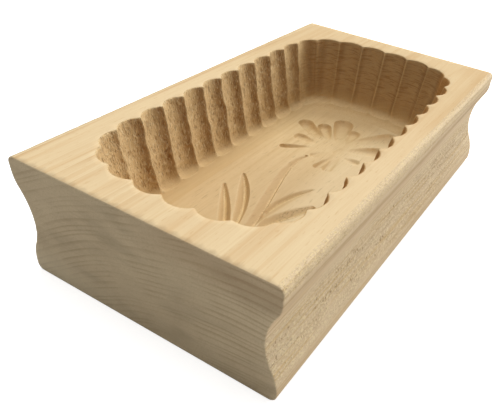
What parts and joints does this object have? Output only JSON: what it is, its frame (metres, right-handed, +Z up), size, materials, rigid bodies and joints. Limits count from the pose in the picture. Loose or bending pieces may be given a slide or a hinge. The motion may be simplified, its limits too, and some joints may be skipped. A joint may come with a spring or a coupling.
{
  "type": "butter mould",
  "caption": "Wooden block mould for pressing butter, with coved grip sides, a fluted oval cavity and a flower motif carved in its floor.",
  "frame": {"origin": "centre of the flat face that the block rests on", "axes": "+X along the block towards the end where the flower's head is, +Y across the block, +Z up out of the cavity"},
  "size_m": [0.18, 0.1, 0.045],
  "materials": {
    "maple": "bare planed and carved maple, unvarnished"
  },
  "bodies": {
    "root": {"mould_block": "maple"}
  },
  "joints": []
}
